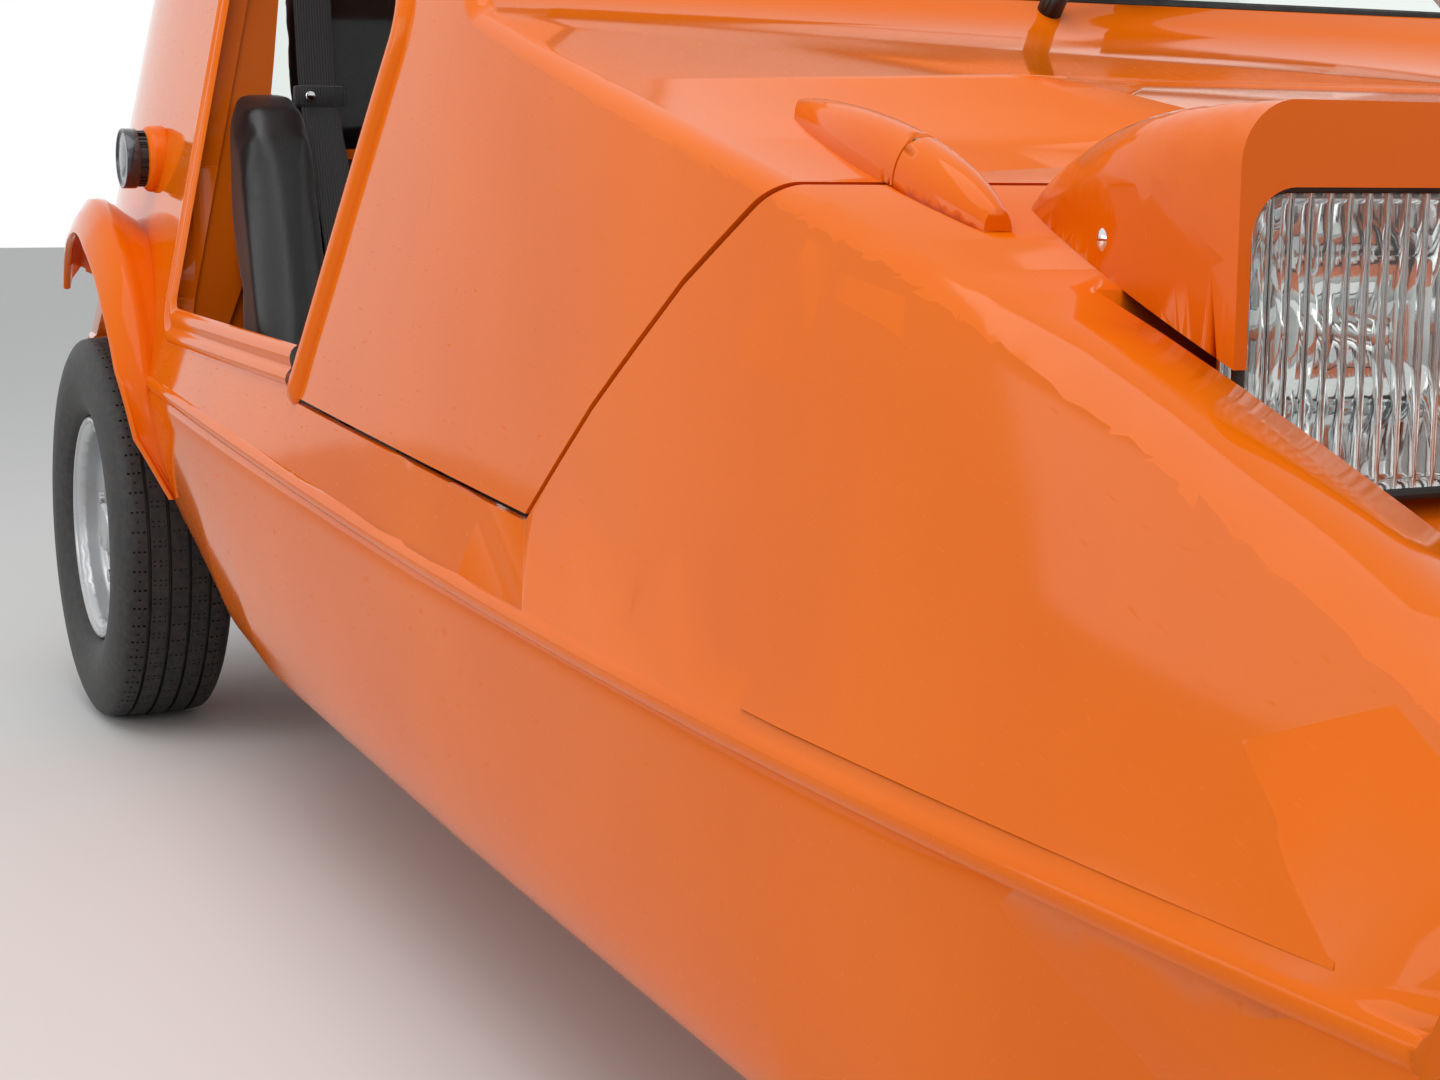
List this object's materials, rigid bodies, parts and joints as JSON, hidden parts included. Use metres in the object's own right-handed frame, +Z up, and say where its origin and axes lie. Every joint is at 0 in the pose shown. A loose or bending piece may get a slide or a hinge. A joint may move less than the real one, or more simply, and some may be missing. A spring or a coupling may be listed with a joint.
{
  "type": "three-wheeled microcar",
  "caption": "Wedge-shaped two-seat microcar with a single steered front wheel, a front-hinged canopy, open sides, hooded rectangular headlamps and flared rear mudguards.",
  "frame": {"origin": "on the ground at the middle of the length and width", "axes": "+X forwards, +Y to the car's left, +Z up"},
  "size_m": [2.794, 1.3966, 1.2683],
  "materials": {
    "body_paint": "gloss",
    "black_plastic": "satin",
    "black_steel": "satin",
    "seat_vinyl": "satin",
    "belt_webbing": "woven",
    "clear_glass": "gloss",
    "lamp_chrome": "polished",
    "red_lens": "gloss",
    "amber_lens": "gloss",
    "tyre_rubber": "matte",
    "wheel_silver": "satin",
    "cast_iron": "rough",
    "bare_steel": "satin"
  },
  "bodies": {
    "body": {"nose_moulding": "body_paint", "rear_moulding": "body_paint", "floor_tub": "body_paint", "sill_left": "body_paint", "sill_right": "body_paint", "fairing_fronts": "body_paint", "hinge_pins": "bare_steel", "headlamp_cowls": "body_paint", "headlamp_bowls": "lamp_chrome", "headlamp_lenses": "clear_glass", "mudguard_right": "body_paint", "mudguard_left": "body_paint", "tail_lamp_panel": "black_plastic", "rear_lamps": "red_lens", "rear_bumper": "black_plastic", "nose_strip": "black_plastic", "front_indicators": "amber_lens", "rear_window": "clear_glass", "filler_boss": "body_paint", "filler_cap": "lamp_chrome", "chassis_rail_left": "black_steel", "chassis_rail_right": "black_steel", "cross_members": "black_steel", "steering_tower": "black_steel", "engine_block": "cast_iron", "engine_cover": "black_plastic", "tunnel_cover": "black_plastic", "gearbox": "cast_iron", "rear_axle": "black_steel", "propeller_shaft": "bare_steel", "trailing_arms": "black_steel", "rear_springs": "black_steel", "exhaust": "bare_steel", "dashboard": "black_plastic", "steering_column": "black_steel", "pedals": "black_plastic", "levers": "black_plastic", "seat_left": "seat_vinyl", "seat_right": "seat_vinyl", "seat_frames": "black_plastic", "seat_belts": "belt_webbing"},
    "canopy": {"canopy_front_shell": "body_paint", "canopy_roof_shell": "body_paint", "fairing_rears": "body_paint", "windscreen": "clear_glass", "wiper": "black_plastic", "canopy_latches": "body_paint"},
    "front_swivel": {"swivel_leg": "black_steel"},
    "steering_wheel": {"steering_wheel": "black_plastic"},
    "front_wheel": {"front_rim": "wheel_silver", "front_tyre": "tyre_rubber"},
    "rear_wheel_left": {"rear_rim_left": "wheel_silver", "rear_tyre_left": "tyre_rubber"},
    "rear_wheel_right": {"rear_rim_right": "wheel_silver", "rear_tyre_right": "tyre_rubber"}
  },
  "joints": [
    {"name": "canopy_hinge", "type": "hinge", "parent": "body", "child": "canopy", "pos_m": [0.8, 0, 0.711], "axis": [0, 1, 0], "range_deg": [0, 50]},
    {"name": "front_steer", "type": "hinge", "parent": "body", "child": "front_swivel", "pos_m": [0.956, 0, 0.243], "axis": [0, 0, 1], "range_deg": [-30, 30]},
    {"name": "steering_wheel_turn", "type": "hinge", "parent": "body", "child": "steering_wheel", "pos_m": [0.06, -0.33, 0.69], "axis": [-0.8872, 0, 0.4614], "range_deg": [-400, 400]},
    {"name": "front_wheel_spin", "type": "hinge", "parent": "front_swivel", "child": "front_wheel", "pos_m": [0.956, 0, 0.243], "axis": [0, 1, 0], "continuous": true},
    {"name": "rear_left_spin", "type": "hinge", "parent": "body", "child": "rear_wheel_left", "pos_m": [-1, 0.61, 0.243], "axis": [0, 1, 0], "continuous": true},
    {"name": "rear_right_spin", "type": "hinge", "parent": "body", "child": "rear_wheel_right", "pos_m": [-1, -0.61, 0.243], "axis": [0, 1, 0], "continuous": true}
  ],
  "couplings": [
    {"joint": "steering_wheel_turn", "follows": "front_steer", "ratio": 13}
  ]
}
